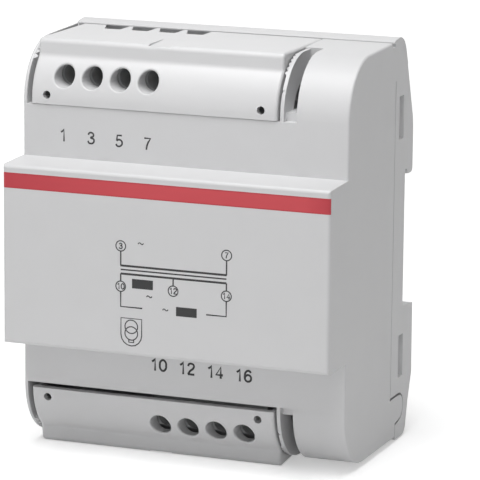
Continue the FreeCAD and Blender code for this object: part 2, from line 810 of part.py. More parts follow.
def terminal_cell(x):
    """Cutters of one terminal's well, pocket, funnel and bar slot."""
    seat = -screw_seat_depth
    pocket_front = seat + partition_wall
    half = cage_width / 2 + cage_clearance
    pocket_low = terminal_height - cage_height / 2 - cage_clearance
    pocket_high = terminal_height + cage_height / 2 + cage_clearance
    well = rod(driver_hole_radius, x, (-far, seat), terminal_height)
    neck = rod(screw_radius + thread_clearance, x, (seat - through, pocket_front + through),
               terminal_height)
    pocket = block((x - half, x + half), (pocket_front, -cage_back_depth + cage_clearance / 2),
                   (pocket_low, pocket_high))
    wire_x = x + wire_offset
    wire_y = -bar_depth + bar_thickness + wire_radius + cage_clearance / 2
    bore = Part.makeCylinder(wire_radius, block_top - pocket_high + 2 * through,
                             Vector(wire_x, wire_y, pocket_high - through))
    funnel = Part.makeCone(wire_radius, wire_radius + funnel_flare, funnel_depth,
                           Vector(wire_x, wire_y, block_top - funnel_depth))
    bar_x = (x - bar_width / 2, x + bar_width / 2)
    slot = block(bar_x, (-bar_depth, -bar_depth + bar_thickness),
                 (ledge_height - through, pocket_low + through))
    groove = block(bar_x, (-bar_depth, 0), (ledge_height - through, ledge_height + bar_thickness))
    return [well, neck, pocket, bore, funnel, slot, groove]


def terminal_screw(x):
    """Slotted captive clamp screw in its well, as one turned piece."""
    seat = -screw_seat_depth - screw_play
    face = seat - screw_head_height
    head = rod(screw_head_radius, x, (face, seat), terminal_height)
    rim = [edge for edge in head.Edges if edge.BoundBox.YMax < face + same_place]
    head = head.makeFillet(screw_head_round, rim)
    shank = rod(screw_radius, x, (seat - overlap, -bar_depth - cage_clearance * 2), terminal_height)
    slot = block((x - screw_slot_width / 2, x + screw_slot_width / 2),
                 (face - through, face + screw_slot_depth),
                 (terminal_height - far, terminal_height + far))
    cross = slot.copy()
    cross.rotate(Vector(x, 0, terminal_height), Vector(0, 1, 0), 90)
    small = cross.common(rod(screw_head_radius * 0.6, x, (-far, 0), terminal_height))
    return head.fuse(shank).removeSplitter().cut([slot, small])


def clamp_cage(x):
    """Folded cage that rises along the screw and clamps the wire against the bar."""
    back = -cage_back_depth
    front = back - cage_length
    z = (terminal_height - cage_height / 2, terminal_height + cage_height / 2)
    ring = block((x - cage_width / 2, x + cage_width / 2), (front, back), z)
    upright = [edge for edge in ring.Edges if edge.BoundBox.ZLength > cage_height - same_place]
    ring = ring.makeFillet(cage_fold_round, upright)
    inner = cage_width / 2 - cage_side_wall
    window = block((x - inner, x + inner), (front + cage_end_wall, back - cage_end_wall),
                   (z[0] - through, z[1] + through))
    thread = rod(screw_radius + thread_clearance, x, (front - through, front + cage_end_wall + through),
                 terminal_height)
    return ring.cut([window, thread])


def contact_bar(x):
    """Folded bar: upright through the cage, foot on the ledge, narrow solder tag below it."""
    half = bar_width / 2
    y_front = -bar_depth
    y_tag = -tag_depth
    upright = block((x - half, x + half), (y_front, y_front + bar_thickness),
                    (ledge_height, terminal_height + cage_height / 2 - 2 * cage_clearance))
    foot = block((x - half, x + half), (y_front, y_tag), (ledge_height, ledge_height + bar_thickness))
    drop = block((x - half, x + half), (y_tag - bar_thickness, y_tag),
                 (inner_half_height - tag_eye_radius, ledge_height + bar_thickness))
    tag = block((x - tag_width / 2, x + tag_width / 2), (y_tag - bar_thickness, y_tag),
                (inner_half_height - tag_length, inner_half_height))
    eye = rod(tag_eye_radius, x, (y_tag - 2 * bar_thickness, y_tag + bar_thickness), tag_eye_height)
    return fused([upright, foot, drop, tag]).cut(eye)


def lamination(outer_z, cut_windows):
    """Stack of core sheets between two heights, with rivet holes at its corners."""
    y = (-core_front_depth, -core_back_depth)
    stack = block((-core_width / 2, core_width / 2), y, outer_z)
    cuts = list(cut_windows)
    for x, z in rivet_places():
        cuts.append(rod(rivet_radius + rivet_clearance, x, (-far, 0), z))
    return stack.cut(cuts)


def rivet_places():
    """Corner rivets of the core."""
    x = core_width / 2 - rivet_inset
    z = core_height / 2 - rivet_inset
    return [(sx * x, sz * z) for sx in (-1, 1) for sz in (-1, 1)]


def core_e():
    window_z = (-core_window_height / 2, core_window_height / 2 + through)
    inner = core_leg / 2
    outer = inner + core_window_width
    windows = [block((-outer, -inner), (-far, 0), window_z), block((inner, outer), (-far, 0), window_z)]
    return lamination((-core_height / 2, core_window_height / 2), windows)


def core_i():
    return lamination((core_window_height / 2, core_height / 2), [])


def core_rivets():
    """Four rivets with round heads on both faces of the core."""
    rivets = []
    for x, z in rivet_places():
        shank = rod(rivet_radius, x, (-core_front_depth - overlap, -core_back_depth + overlap), z)
        front = rod(rivet_head_radius, x,
                    (-core_front_depth - rivet_head_height, -core_front_depth), z)
        back = rod(rivet_head_radius, x, (-core_back_depth, -core_back_depth + rivet_head_height), z)
        rivets.append(fused([shank, front, back]))
    return Part.makeCompound(rivets)


def coil_ring(x_half, y_grow, thickness, z):
    """Rounded rectangular ring around the core's middle leg."""
    outer_x = x_half + thickness
    outer_y = (-core_front_depth - y_grow - thickness, -core_back_depth + y_grow + thickness)
    ring = block((-outer_x, outer_x), outer_y, z)
    upright = [edge for edge in ring.Edges if edge.BoundBox.ZLength > (z[1] - z[0]) - same_place
               and edge.BoundBox.XLength < same_place]
    if thickness > coil_corner_radius:
        ring = ring.makeFillet(coil_corner_radius, upright)
    hole = block((-x_half, x_half), (-core_front_depth - y_grow, -core_back_depth + y_grow),
                 (z[0] - through, z[1] + through))
    return ring.cut(hole)


def chamber(level):
    """Heights of one winding chamber: level 1 above the middle flange, -1 below it."""
    return sorted([level * former_flange / 2, level * (flange_height - former_flange)])


def coil_former():
    """Two-chamber winding former: square tube, two end flanges and a middle flange."""
    gap = coil_clearance / 2
    x_half = core_leg / 2 + gap
    tube = coil_ring(x_half, gap, former_wall, (-flange_height, flange_height))
    flanges = []
    for z_low in (-flange_height, -former_flange / 2, flange_height - former_flange):
        flange = coil_ring(x_half, gap, former_wall + coil_build + tape_thickness,
                           (z_low, z_low + former_flange))
        flanges.append(flange)
    return fused([tube] + flanges)


def winding(level):
    """Copper of one chamber."""
    inner = coil_clearance / 2 + former_wall
    return coil_ring(core_leg / 2 + inner, inner, coil_build - winding_setback, chamber(level))


def tape_wrap(level):
    """Insulation wrap around one winding."""
    inner = coil_clearance / 2 + former_wall + coil_build - winding_setback
    z = chamber(level)
    outer_x = core_leg / 2 + inner + tape_thickness
    outer_y = (-core_front_depth - inner - tape_thickness, -core_back_depth + inner + tape_thickness)
    outer = block((-outer_x, outer_x), outer_y, z)
    upright = [edge for edge in outer.Edges if edge.BoundBox.ZLength > (z[1] - z[0]) - same_place
               and edge.BoundBox.XLength < same_place]
    outer = outer.makeFillet(coil_corner_radius + tape_thickness, upright)
    wound = block((-outer_x + tape_thickness, outer_x - tape_thickness),
                  (outer_y[0] + tape_thickness, outer_y[1] - tape_thickness), z)
    upright = [edge for edge in wound.Edges if edge.BoundBox.ZLength > (z[1] - z[0]) - same_place
               and edge.BoundBox.XLength < same_place]
    return outer.cut(wound.makeFillet(coil_corner_radius, upright))


def lead(points):
    """Insulated lead along straight runs joined by tangent arcs."""
    path = [Vector(*point) for point in points]
    edges = []
    here = path[0]
    for before, corner, after in zip(path, path[1:], path[2:]):
        run_in = (corner - before).normalize()
        run_out = (after - corner).normalize()
        half_turn = run_in.getAngle(run_out) / 2
        shorter = min(before.distanceToPoint(corner), corner.distanceToPoint(after))
        cut_back = shorter * 0.45
        radius = cut_back / math.tan(half_turn)
        start = corner - run_in * cut_back
        end = corner + run_out * cut_back
        inward = (run_out - run_in).normalize()
        middle = corner + inward * (radius / math.cos(half_turn) - radius)
        edges.append(Part.LineSegment(here, start).toShape())
        edges.append(Part.Arc(start, middle, end).toShape())
        here = end
    edges.append(Part.LineSegment(here, path[-1]).toShape())
    wire = Part.Wire(edges)
    direction = (path[1] - path[0]).normalize()
    section = Part.Wire(Part.makeCircle(lead_radius, path[0], direction))
    return wire.makePipeShell([section], True, False)


def top_lead(x_start, x_tag):
    """Lead from the upper flange of the former to a top solder tag."""
    y_route = -core_back_depth + lead_depth
    return lead([(x_start, y_route, flange_height), (x_start, y_route, flange_height + lead_rise),
                 (x_tag, y_route, tag_eye_height), (x_tag, -tag_depth, tag_eye_height)])


def cutout_place():
    """X of the cut-out's left end, Y of its middle and Z of the flange below it."""
    return (core_leg / 2 - cutout_length, -core_back_depth + coil_reach * 2 / 3, flange_height)


def cutout_lead(x_tag):
    """Lead from the cut-out's left end to a top solder tag."""
    x, y, z = cutout_place()
    z_mid = z + cutout_height / 2
    return lead([(x, y, z_mid), (x - cutout_lead_run, y, z_mid), (x_tag, y, tag_eye_height),
                 (x_tag, -tag_depth, tag_eye_height)])


def thermal_cutout():
    """Small sealed cut-out that lies on the former's upper flange."""
    x, y, z = cutout_place()
    body = block((x, x + cutout_length), (y - cutout_width / 2, y + cutout_width / 2),
                 (z, z + cutout_height))
    top = [edge for edge in body.Edges if edge.BoundBox.ZMin > z + cutout_height - same_place]
    return body.makeFillet(cutout_edge_round, top)


def transformer_pieces():
    """Core, coil and leads by node name."""
    tops = terminal_places()
    bottoms = [2 * cover_centre - x for x in reversed(tops)]
    pieces = {
        "core_e_laminations": core_e(),
        "core_i_laminations": core_i(),
        "core_rivets": core_rivets(),
        "coil_former": coil_former(),
        "primary_winding": winding(1),
        "secondary_winding": winding(-1),
        "primary_tape": tape_wrap(1),
        "secondary_tape": tape_wrap(-1),
        "thermal_cutout": thermal_cutout(),
        "primary_lead_a": top_lead(-core_leg / 2, tops[1]),
        "primary_lead_b": cutout_lead(tops[3]),
    }
    starts = [-secondary_lead_spread, 0.0, secondary_lead_spread]
    for letter, x_start, x_tag in zip("abc", starts, bottoms):
        pieces["secondary_lead_" + letter] = mirrored_down(top_lead(x_start, x_tag))
    return pieces


def terminal_pieces():
    """Screw, cage and bar of each terminal by node name."""
    pieces = {}
    for x, number in zip(terminal_places(), TOP_NUMBERS):
        pieces["terminal_screw_%d" % number] = terminal_screw(x)
        pieces["clamp_cage_%d" % number] = clamp_cage(x)
        pieces["contact_bar_%d" % number] = contact_bar(x)
    for x, number in zip(reversed(terminal_places()), BOTTOM_NUMBERS):
        pieces["terminal_screw_%d" % number] = turned_over(terminal_screw(x))
        pieces["clamp_cage_%d" % number] = turned_over(clamp_cage(x))
        pieces["contact_bar_%d" % number] = turned_over(contact_bar(x))
    return pieces


def all_pieces():
    """Every piece of the transformer by node name."""
    cover = cover_screen()
    carrier = terminal_block()
    pieces = {
        "front_housing": front_housing(),
        "rear_base": rear_base(),
        "rail_latch": rail_latch(),
        "top_terminal_cover": cover,
        "bottom_terminal_cover": opened(turned_over(cover)),
        "top_terminal_block": carrier,
        "bottom_terminal_block": turned_over(carrier),
    }
    pieces.update(terminal_pieces())
    pieces.update(transformer_pieces())
    return pieces


os.makedirs("parts", exist_ok=True)
for node, shape in all_pieces().items():
    shape.exportStep("parts/%s.step" % node)
    box = shape.BoundBox
    print("%-24s solids %d valid %s volume %9.1f  x %6.1f %6.1f  y %6.1f %6.1f  z %6.1f %6.1f" % (
        node, len(shape.Solids), shape.isValid(), shape.Volume,
        box.XMin, box.XMax, box.YMin, box.YMax, box.ZMin, box.ZMax))
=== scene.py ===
# %% [markdown]
# # A doorbell transformer for a 35 mm rail
# The object is a modular housing of light grey moulded plastic with a raised nose, two sliding
# terminal covers and a printed front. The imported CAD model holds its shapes, inside and out.
# This lesson lights them, gives each surface its finish, and adds what is printed on the front.

# %% Load the frame
import json
import math

import bpy
from mathutils import Matrix, Vector


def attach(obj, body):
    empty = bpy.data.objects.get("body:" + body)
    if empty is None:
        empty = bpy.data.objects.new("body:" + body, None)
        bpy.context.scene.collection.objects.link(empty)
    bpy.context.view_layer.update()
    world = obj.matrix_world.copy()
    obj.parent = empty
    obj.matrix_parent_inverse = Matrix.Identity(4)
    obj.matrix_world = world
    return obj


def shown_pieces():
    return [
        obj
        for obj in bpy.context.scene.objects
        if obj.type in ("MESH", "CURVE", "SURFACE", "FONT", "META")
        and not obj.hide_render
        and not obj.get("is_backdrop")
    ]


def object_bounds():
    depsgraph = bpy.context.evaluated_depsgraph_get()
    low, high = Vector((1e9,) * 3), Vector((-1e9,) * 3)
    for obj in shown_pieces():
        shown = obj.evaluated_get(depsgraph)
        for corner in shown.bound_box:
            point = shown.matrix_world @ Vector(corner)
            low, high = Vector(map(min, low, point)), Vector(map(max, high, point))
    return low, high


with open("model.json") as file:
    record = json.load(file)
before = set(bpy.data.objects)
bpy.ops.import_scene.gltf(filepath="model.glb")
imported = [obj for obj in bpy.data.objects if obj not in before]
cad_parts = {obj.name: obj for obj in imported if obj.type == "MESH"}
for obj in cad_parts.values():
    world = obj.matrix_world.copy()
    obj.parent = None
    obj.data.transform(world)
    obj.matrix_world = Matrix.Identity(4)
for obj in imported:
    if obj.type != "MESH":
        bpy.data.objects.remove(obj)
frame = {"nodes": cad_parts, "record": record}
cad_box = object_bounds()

MM = 0.001
print("CAD box in mm:", [[round(value / MM, 1) for value in corner] for corner in cad_box])

# %% [markdown]
# ## Small helpers
# Colours are written as the hex values that a paint program shows, so one function turns them
# into the linear values that a shader works with. Another adds a shader node with its settings
# and its links, which keeps each material short and readable.

# %% Colour and node helpers
def linear(hex_colour):
    """Linear RGBA of an sRGB hex colour such as "#C6C7C8"."""
    channels = [int(hex_colour[index:index + 2], 16) / 255 for index in (1, 3, 5)]
    return [c / 12.92 if c <= 0.04045 else ((c + 0.055) / 1.055) ** 2.4 for c in channels] + [1.0]


def add_node(tree, kind, links=None, inputs=None, **settings):
    """Add a node; inputs are values by socket, links are output sockets by socket."""
    node = tree.nodes.new("ShaderNode" + kind)
    for name, value in settings.items():
        setattr(node, name, value)
    for socket, value in (inputs or {}).items():
        node.inputs[socket].default_value = value
    for socket, source in (links or {}).items():
        tree.links.new(source, node.inputs[socket])
    return node


def new_material(name):
    """Empty node material with a Principled shader; returns the material, its tree and shader."""
    material = bpy.data.materials.new(name)
    material.use_nodes = True
    tree = material.node_tree
    tree.nodes.clear()
    shader = add_node(tree, "BsdfPrincipled")
    add_node(tree, "OutputMaterial", {"Surface": shader.outputs["BSDF"]})
    return material, tree, shader


def deselect():
    """Nothing selected, because operators act on all that is selected."""
    bpy.ops.object.select_all(action="DESELECT")


print("the middle grey #808080 in linear light:", round(linear("#808080")[0], 3))

# %% [markdown]
# ## The camera
# The photograph was taken with a long lens from a little above and to the right, nearly a
# product catalogue's straight view. A long lens far away keeps the edges almost parallel, which
# is why the top and bottom edges of the housing converge so little.

# %% Place the camera
CAMERA_AZIMUTH = math.radians(21.23)
CAMERA_ELEVATION = math.radians(11.77)
CAMERA_ROLL = math.radians(0.55)
CAMERA_DISTANCE = 840.3 * MM
CAMERA_TARGET = Vector((8.42, -26.0, 1.70)) * MM
SENSOR_WIDTH = 36.0
LENS = 247.6

turn = (Matrix.Rotation(CAMERA_AZIMUTH, 4, "Z")
        @ Matrix.Rotation(math.pi / 2 - CAMERA_ELEVATION, 4, "X")
        @ Matrix.Rotation(CAMERA_ROLL, 4, "Z"))
bpy.ops.object.camera_add()
camera = bpy.context.object
camera.name = "camera"
backwards = turn.to_3x3().col[2]
camera.matrix_world = Matrix.Translation(CAMERA_TARGET + backwards * CAMERA_DISTANCE) @ turn
camera.data.sensor_width = SENSOR_WIDTH
camera.data.lens = LENS
camera.data.clip_start = 10 * MM
bpy.context.scene.camera = camera
print("camera at mm:", [round(value / MM, 1) for value in camera.location])

# %% [markdown]
# ## The studio's world
# The background is white, but not because of more light on the object. The world is at full
# white where the camera, or a mirror in metal, sees it, and a low even level where it lights the
# object. The Light Path node tells the two apart.

# %% White to the eye, dim to the object
WORLD_LEVEL = 0.08

scene = bpy.context.scene
scene.view_settings.view_transform = "Standard"
world = bpy.data.worlds.new("studio")
scene.world = world
world.use_nodes = True
tree = world.node_tree
tree.nodes.clear()


def seen_directly(tree):
    """Node output that is 1 for camera, glossy and transmission rays and 0 for the rest."""
    path = add_node(tree, "LightPath")
    direct = add_node(tree, "Math", {0: path.outputs["Is Camera Ray"],
                                     1: path.outputs["Is Glossy Ray"]}, operation="MAXIMUM")
    direct = add_node(tree, "Math", {0: direct.outputs[0], 1: path.outputs["Is Transmission Ray"]},
                      operation="MAXIMUM")
    return direct.outputs[0]


level = add_node(tree, "MapRange", {"Value": seen_directly(tree)},
                 {"To Min": WORLD_LEVEL, "To Max": 1.0})
background = add_node(tree, "Background", {"Strength": level.outputs["Result"]},
                      {"Color": (1, 1, 1, 1)})
add_node(tree, "OutputWorld", {"Surface": background.outputs["Background"]})
print("the world lights the object at", WORLD_LEVEL)

# %% [markdown]
# ## The lamps
# A large soft light from above, and a little in front, makes the tops nearly white. A second one
# in front lights the nose to a middling grey and leaves the right side darkest, and a weak one
# between them softens the shadow under the nose. These three are suns, whose light is even all
# over, each seen at a wide angle, which makes it soft. Two soft boxes stand closer: one above
# the nose, whose light falls off towards the back of the top, and one far left.

# %% Suns and soft boxes
KEY_STRENGTH, KEY_SOFTNESS = 2.0, 40
FRONT_STRENGTH, FRONT_SOFTNESS = 0.50, 60
FILL_STRENGTH, FILL_SOFTNESS = 0.28, 60
TOP_BOX_WATTS = 0.145
LEFT_BOX_WATTS = 0.097
BOX_SIZE = 150 * MM
BOX_AIM = Vector((0, -40, 0)) * MM


def broad_sun(name, direction, strength, softness):
    """A sun whose light comes from the given direction, softened by its angle in degrees."""
    bpy.ops.object.light_add(type="SUN")
    lamp = bpy.context.object
    lamp.name = name
    lamp.rotation_euler = Vector(direction).to_track_quat("Z", "Y").to_euler()
    lamp.data.energy = strength
    lamp.data.angle = math.radians(softness)
    return lamp


def soft_box(name, place, watts):
    """A square soft lamp at a place in mm, turned to the object."""
    bpy.ops.object.light_add(type="AREA", location=Vector(place) * MM)
    lamp = bpy.context.object
    lamp.name = name
    lamp.rotation_euler = (BOX_AIM - lamp.location).to_track_quat("-Z", "Y").to_euler()
    lamp.data.energy = watts
    lamp.data.size = BOX_SIZE
    return lamp


lamps = [broad_sun("key_from_above", (0.0, -0.25, 1.0), KEY_STRENGTH, KEY_SOFTNESS),
         broad_sun("light_from_front", (0.1, -1.0, 0.1), FRONT_STRENGTH, FRONT_SOFTNESS),
         broad_sun("fill_between", (0.1, -0.8, 0.6), FILL_STRENGTH, FILL_SOFTNESS),
         soft_box("box_over_nose", (0, -120, 200), TOP_BOX_WATTS),
         soft_box("box_far_left", (-400, -200, 50), LEFT_BOX_WATTS)]
print("lamps:", [lamp.name for lamp in lamps])

# %% [markdown]
# ## The floor
# A sheet of white studio paper lies under the object, at the height of its lowest edge. It keeps
# the object's soft shadow and throws light back at the low covers. Like the world, it is lifted
# to white only where the camera or a mirror sees it, by a little emission. Paper's own tooth is
# far too fine to show, so its relief is drawn 10 mm wide and very weak.

# %% Studio paper
FLOOR_COLOUR = "#EDEDED"
FLOOR_LIFT = 0.42
FLOOR_SIZE = 6.0
PAPER_GRAIN = 10 * MM
PAPER_RELIEF = 0.02

deselect()
floor_height = cad_box[0][2]
bpy.ops.mesh.primitive_plane_add(size=FLOOR_SIZE, location=(0, 0, floor_height))
floor = bpy.context.object
floor.name = "floor"
material, tree, shader = new_material("matt white studio paper")
shader.inputs["Base Color"].default_value = linear(FLOOR_COLOUR)
shader.inputs["Roughness"].default_value = 0.9
shader.inputs["Specular IOR Level"].default_value = 0.1
shader.inputs["Emission Color"].default_value = (1, 1, 1, 1)
lift = add_node(tree, "Math", {0: seen_directly(tree)}, {1: FLOOR_LIFT}, operation="MULTIPLY")
tree.links.new(lift.outputs[0], shader.inputs["Emission Strength"])
paper = add_node(tree, "TexNoise", {"Vector": add_node(tree, "TexCoord").outputs["Object"]},
                 {"Scale": 1 / PAPER_GRAIN})
paper_bump = add_node(tree, "Bump", {"Height": paper.outputs["Fac"]},
                      {"Strength": PAPER_RELIEF, "Distance": MM})
tree.links.new(paper_bump.outputs["Normal"], shader.inputs["Normal"])
floor.data.materials.append(material)
floor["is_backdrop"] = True
print("floor at mm:", round(floor_height / MM, 2))

# %% [markdown]
# ## Plastics
# The housing, base and covers are injection moulded in a light grey polycarbonate blend. The
# mould was spark eroded, which leaves a fine even grain that spreads the highlights, and the
# colour is all but even, with the faintest cloudiness where the melt flowed. One function makes
# the finish of every plastic: a hardly visible cloud in the colour, and a grain that roughens
# the surface and varies its gloss. The real grain is about 0.06 mm, too fine for the picture, so
# it is drawn at 0.3 mm.

# %% The finish of a plastic
GRAIN = 0.30 * MM
GRAIN_STRENGTH = 0.5
CLOUD = 9.0 * MM
GLOSS_SPREAD = 0.05
PLASTIC_IOR = 1.52


def plastic(name, colour, roughness=0.42, cloudiness=0.018, grain_height=0.012):
    """Grained plastic with a faint cloud; returns its material, tree, shader and tint."""
    material, tree, shader = new_material(name)
    place = add_node(tree, "TexCoord").outputs["Object"]
    cloud = add_node(tree, "TexNoise", {"Vector": place}, {"Scale": 1 / CLOUD, "Detail": 3.0})
    shade = add_node(tree, "MapRange", {"Value": cloud.outputs["Fac"]},
                     {"To Min": 1 - cloudiness, "To Max": 1 + cloudiness})
    tint = add_node(tree, "VectorMath", {"Scale": shade.outputs["Result"]},
                    {0: linear(colour)[:3]}, operation="SCALE")
    tree.links.new(tint.outputs["Vector"], shader.inputs["Base Color"])
    shader.inputs["IOR"].default_value = PLASTIC_IOR
    grain = add_node(tree, "TexNoise", {"Vector": place}, {"Scale": 1 / GRAIN, "Detail": 2.0})
    gloss = add_node(tree, "MapRange", {"Value": grain.outputs["Fac"]},
                     {"To Min": roughness - GLOSS_SPREAD, "To Max": roughness + GLOSS_SPREAD})
    tree.links.new(gloss.outputs["Result"], shader.inputs["Roughness"])
    bump = add_node(tree, "Bump", {"Height": grain.outputs["Fac"]},
                    {"Strength": GRAIN_STRENGTH, "Distance": grain_height * MM})
    tree.links.new(bump.outputs["Normal"], shader.inputs["Normal"])
    return material, tree, shader, tint.outputs["Vector"]


print("grains to the millimetre:", round(MM / GRAIN, 1))

# %% [markdown]
# The covers come from a smoother mould, so they are a little glossier than the base. The latch
# is acetal, which is waxy and shines more. Inside, the terminal blocks are a plain polyamide,
# the coil's former is filled with glass and nearly black, and the thermal cut-out has a dark
# phenolic case.

# %% The moulded parts' plastics
base_plastic = plastic("moulded polycarbonate base", "#CFCFD0")[0]
cover_plastic = plastic("moulded polycarbonate cover", "#CFCFD0", roughness=0.36)[0]
latch_plastic = plastic("moulded acetal latch", "#C2C2BF", roughness=0.33)[0]
block_plastic = plastic("moulded polyamide terminal block", "#B4B5B6", roughness=0.45)[0]
former_plastic = plastic("moulded glass filled polyamide", "#2B2B2D", roughness=0.5,
                         cloudiness=0.10)[0]
cutout_plastic = plastic("moulded phenolic case", "#1E1D1C", roughness=0.4, cloudiness=0.08)[0]
print("moulded plastics:", [made.name for made in bpy.data.materials if "moulded" in made.name])

# %% [markdown]
# ## The red stripe
# A red band is pad printed across the nose's front, right to its rounded ends. Ink takes the
# shape of the surface under it, so the stripe is a field of colour in the housing's material:
# where a point lies between two heights and on the front of the nose, the colour is the ink's.
# The pad lays the ink on thicker at the stripe's borders, along its left third and at its right
# end, so the red is deeper there. Two shares say how much of the lighter red is left at the ends.

# %% The housing's plastic with its stripe
HOUSING_GREY = "#CECECF"
INK_RED = "#C34149"
INK_RED_DEEP = "#AE2735"
STRIPE_LOW = 16.62 * MM
STRIPE_HIGH = 20.55 * MM
STRIPE_EDGE = 0.25 * MM
DEEP_LEFT = (-44.0 * MM, -8.0 * MM)
DEEP_RIGHT = (37.0 * MM, 43.0 * MM)
LIGHTER_AT_LEFT = 0.35
LIGHTER_AT_RIGHT = 0.3
FRONT_REACH = 0.45 * MM
nose_front = cad_box[0][1]

housing_plastic, tree, shader, grey = plastic("moulded polycarbonate housing", HOUSING_GREY)
place = add_node(tree, "SeparateXYZ", {"Vector": add_node(tree, "TexCoord").outputs["Object"]})


def band(tree, value, low, high):
    """1 where value lies between low and high, else 0."""
    return add_node(tree, "Math", {0: value}, {1: (low + high) / 2, 2: (high - low) / 2},
                    operation="COMPARE").outputs[0]


on_front = add_node(tree, "Math", {0: place.outputs["Y"]}, {1: nose_front + FRONT_REACH},
                    operation="LESS_THAN")
in_band = band(tree, place.outputs["Z"], STRIPE_LOW, STRIPE_HIGH)
inked = add_node(tree, "Math", {0: on_front.outputs[0], 1: in_band}, operation="MULTIPLY")
inner = band(tree, place.outputs["Z"], STRIPE_LOW + STRIPE_EDGE, STRIPE_HIGH - STRIPE_EDGE)
left_thin = add_node(tree, "MapRange", {"Value": place.outputs["X"]},
                     {"From Min": DEEP_LEFT[0], "From Max": DEEP_LEFT[1],
                      "To Min": LIGHTER_AT_LEFT, "To Max": 1.0})
right_thin = add_node(tree, "MapRange", {"Value": place.outputs["X"]},
                      {"From Min": DEEP_RIGHT[0], "From Max": DEEP_RIGHT[1],
                       "To Min": 1.0, "To Max": LIGHTER_AT_RIGHT})
thin = add_node(tree, "Math", {0: left_thin.outputs["Result"], 1: right_thin.outputs["Result"]},
                operation="MULTIPLY")
light_part = add_node(tree, "Math", {0: inner, 1: thin.outputs[0]}, operation="MULTIPLY")
ink = add_node(tree, "Mix", {"Factor": light_part.outputs[0]},
               {"A": linear(INK_RED_DEEP), "B": linear(INK_RED)}, data_type="RGBA")
coat = add_node(tree, "Mix", {"Factor": inked.outputs[0], "A": grey, "B": ink.outputs["Result"]},
                data_type="RGBA")
tree.links.new(coat.outputs["Result"], shader.inputs["Base Color"])
print("stripe height mm:", round((STRIPE_HIGH - STRIPE_LOW) / MM, 2))

# %% [markdown]
# ## Metals and insulation inside
# The clamp screws and cages are zinc plated steel, the contact bars are tinned brass strip, the
# core is a stack of rolled silicon steel sheets, the windings are enamelled copper wire and the
# wraps are amber polyester film. A metal's colour is its reflection, so metallic is 1 and the
# default IOR stays. What tells one metal from another is its tint, its roughness and the
# direction of its fine marks.

# %% Metal finishes
MARK_STRENGTH = 0.6


def metal(name, colour, roughness, mark_size, stretch=(1, 1, 1), mark_depth=0.004, spread=0.08):
    """Metal whose fine marks are stretched along one direction."""
    material, tree, shader = new_material(name)
    place = add_node(tree, "TexCoord").outputs["Object"]
    laid = add_node(tree, "Mapping", {"Vector": place}, {"Scale": stretch})
    marks = add_node(tree, "TexNoise", {"Vector": laid.outputs["Vector"]},
                     {"Scale": 1 / mark_size, "Detail": 4.0})
    shader.inputs["Base Color"].default_value = linear(colour)
    shader.inputs["Metallic"].default_value = 1.0
    rough = add_node(tree, "MapRange", {"Value": marks.outputs["Fac"]},
                     {"To Min": roughness - spread, "To Max": roughness + spread})
    tree.links.new(rough.outputs["Result"], shader.inputs["Roughness"])
    bump = add_node(tree, "Bump", {"Height": marks.outputs["Fac"]},
                    {"Strength": MARK_STRENGTH, "Distance": mark_depth * MM})
    tree.links.new(bump.outputs["Normal"], shader.inputs["Normal"])
    return material, tree, shader


screw_steel = metal("zinc plated turned steel", "#C9C9C4", 0.32, 0.4 * MM)[0]
cage_steel = metal("zinc plated folded steel", "#BDBDB8", 0.36, 0.5 * MM, (1, 0.15, 1))[0]
rivet_steel = metal("zinc plated rivet steel", "#C4C4C0", 0.34, 0.4 * MM)[0]
bar_brass = metal("tinned brass strip", "#CDB98A", 0.30, 0.5 * MM, (1, 1, 0.12))[0]
print("metals so far:", [made.name for made in (screw_steel, cage_steel, rivet_steel, bar_brass)])

# %% [markdown]
# The core's sheets are half a millimetre thick and lie one on another from front to back, so
# its edges show fine lines. Their faces keep the blue grey of the rolled sheet under a thin
# varnish. The lines come from a wave along Y. One period stands for two sheets, because half a
# millimetre is too fine for the picture. At scale 1 a wave texture repeats every 2 pi / 20 of
# the unit of its vector, from which the scale follows.

# %% Laminated core steel
CORE_BLUE_GREY = "#6E7278"
SHEET_PAIR = 1.0 * MM
WAVE_PERIOD = 2 * math.pi / 20
LINE_SHARE = 0.35
LINE_TONE = 0.35

core_steel, tree, shader = metal("varnished silicon steel sheets", CORE_BLUE_GREY, 0.42, 1.2 * MM,
                                 (0.2, 1, 1))
place = add_node(tree, "TexCoord").outputs["Object"]
sheets = add_node(tree, "TexWave", {"Vector": place}, {"Scale": WAVE_PERIOD / SHEET_PAIR},
                  bands_direction="Y", wave_profile="SAW")
gap = add_node(tree, "MapRange", {"Value": sheets.outputs["Fac"]},
               {"From Min": 0.0, "From Max": LINE_SHARE, "To Min": LINE_TONE, "To Max": 1.0})
steel_tint = add_node(tree, "VectorMath", {"Scale": gap.outputs["Result"]},
                      {0: linear(CORE_BLUE_GREY)[:3]}, operation="SCALE")
tree.links.new(steel_tint.outputs["Vector"], shader.inputs["Base Color"])
shader.inputs["Coat Weight"].default_value = 0.35
shader.inputs["Coat Roughness"].default_value = 0.25
print("lines on the core's edge, to the millimetre:", round(MM / SHEET_PAIR, 1))

# %% [markdown]
# Enamelled copper shows its metal through a clear amber enamel, so the shader's coat is tinted.
# The wraps and the lead sleeves are smooth plastics with a soft gloss.

# %% Copper, film and sleeves
copper_wire, tree, shader = metal("enamelled copper wire", "#B8693C", 0.28, 0.3 * MM)
shader.inputs["Coat Weight"].default_value = 0.8
shader.inputs["Coat Roughness"].default_value = 0.12
shader.inputs["Coat Tint"].default_value = linear("#E9B071")
insulation_tape = plastic("amber polyester film", "#D9B44A", roughness=0.22, cloudiness=0.05,
                          grain_height=0.004)[0]
primary_sleeve = plastic("black extruded sleeve", "#2A2A2C", roughness=0.35, cloudiness=0.04)[0]
secondary_sleeve = plastic("red extruded sleeve", "#A22A2A", roughness=0.35, cloudiness=0.04)[0]
print("materials so far:", len(bpy.data.materials))

